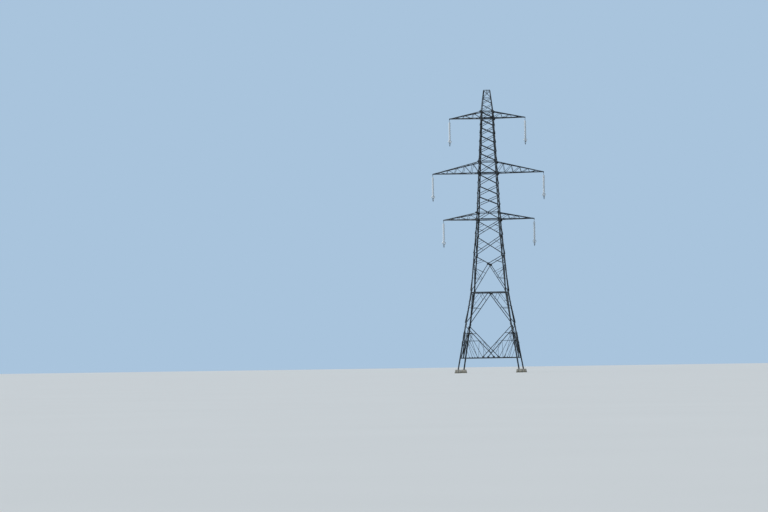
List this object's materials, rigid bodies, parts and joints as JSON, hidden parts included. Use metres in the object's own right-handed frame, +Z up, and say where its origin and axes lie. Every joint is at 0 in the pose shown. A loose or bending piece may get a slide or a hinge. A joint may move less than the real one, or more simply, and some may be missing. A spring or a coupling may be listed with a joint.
{
  "type": "lattice transmission pylon, 1:2 scale model",
  "caption": "Tapered steel lattice pylon with crossarms on both sides, hanging insulator sets with conductor clamps, and concrete footings; 1:2 scale model.",
  "frame": {"origin": "centre of the foot of the tower, at the underside of the footings", "axes": "+Z up, the crossarms run along X, the line of conductors runs along Y"},
  "size_m": [8.328, 4.9162, 20.8],
  "materials": {
    "galvanised_steel": "weathered galvanised, matt",
    "fitting_steel": "galvanised forging",
    "glazed_porcelain": "glossy pale grey glaze",
    "concrete": "rough cast concrete"
  },
  "bodies": {
    "tower": {"footings": "concrete", "leg_lower_front_left": "galvanised_steel", "leg_lower_front_right": "galvanised_steel", "leg_lower_back_right": "galvanised_steel", "leg_lower_back_left": "galvanised_steel", "leg_body_front_left": "galvanised_steel", "leg_body_front_right": "galvanised_steel", "leg_body_back_right": "galvanised_steel", "leg_body_back_left": "galvanised_steel", "leg_barrel_front_left": "galvanised_steel", "leg_barrel_front_right": "galvanised_steel", "leg_barrel_back_right": "galvanised_steel", "leg_barrel_back_left": "galvanised_steel", "lower_bracing_front": "galvanised_steel", "lower_bracing_right": "galvanised_steel", "lower_bracing_back": "galvanised_steel", "lower_bracing_left": "galvanised_steel", "body_bracing_front": "galvanised_steel", "body_bracing_right": "galvanised_steel", "body_bracing_back": "galvanised_steel", "body_bracing_left": "galvanised_steel", "barrel_bracing_front": "galvanised_steel", "barrel_bracing_right": "galvanised_steel", "barrel_bracing_back": "galvanised_steel", "barrel_bracing_left": "galvanised_steel", "base_horizontals": "galvanised_steel", "waist_frame": "galvanised_steel", "level_frames": "galvanised_steel", "peak": "galvanised_steel", "crossarm_top_left": "galvanised_steel", "crossarm_top_right": "galvanised_steel", "crossarm_middle_left": "galvanised_steel", "crossarm_middle_right": "galvanised_steel", "crossarm_lower_left": "galvanised_steel", "crossarm_lower_right": "galvanised_steel"},
    "insulator_set_top_left": {"insulator_top_left": "glazed_porcelain", "yoke_top_left": "fitting_steel"},
    "insulator_set_top_right": {"insulator_top_right": "glazed_porcelain", "yoke_top_right": "fitting_steel"},
    "insulator_set_middle_left": {"insulator_middle_left": "glazed_porcelain", "yoke_middle_left": "fitting_steel"},
    "insulator_set_middle_right": {"insulator_middle_right": "glazed_porcelain", "yoke_middle_right": "fitting_steel"},
    "insulator_set_lower_left": {"insulator_lower_left": "glazed_porcelain", "yoke_lower_left": "fitting_steel"},
    "insulator_set_lower_right": {"insulator_lower_right": "glazed_porcelain", "yoke_lower_right": "fitting_steel"}
  },
  "joints": [
    {"name": "swing_top_left", "type": "hinge", "parent": "tower", "child": "insulator_set_top_left", "pos_m": [-2.79, 0, 18.645], "axis": [0, 1, 0], "range_deg": [-40, 40]},
    {"name": "swing_top_right", "type": "hinge", "parent": "tower", "child": "insulator_set_top_right", "pos_m": [2.79, 0, 18.645], "axis": [0, 1, 0], "range_deg": [-40, 40]},
    {"name": "swing_middle_left", "type": "hinge", "parent": "tower", "child": "insulator_set_middle_left", "pos_m": [-4.09, 0, 14.595], "axis": [0, 1, 0], "range_deg": [-40, 40]},
    {"name": "swing_middle_right", "type": "hinge", "parent": "tower", "child": "insulator_set_middle_right", "pos_m": [4.09, 0, 14.595], "axis": [0, 1, 0], "range_deg": [-40, 40]},
    {"name": "swing_lower_left", "type": "hinge", "parent": "tower", "child": "insulator_set_lower_left", "pos_m": [-3.34, 0, 11.185], "axis": [0, 1, 0], "range_deg": [-40, 40]},
    {"name": "swing_lower_right", "type": "hinge", "parent": "tower", "child": "insulator_set_lower_right", "pos_m": [3.34, 0, 11.185], "axis": [0, 1, 0], "range_deg": [-40, 40]}
  ]
}
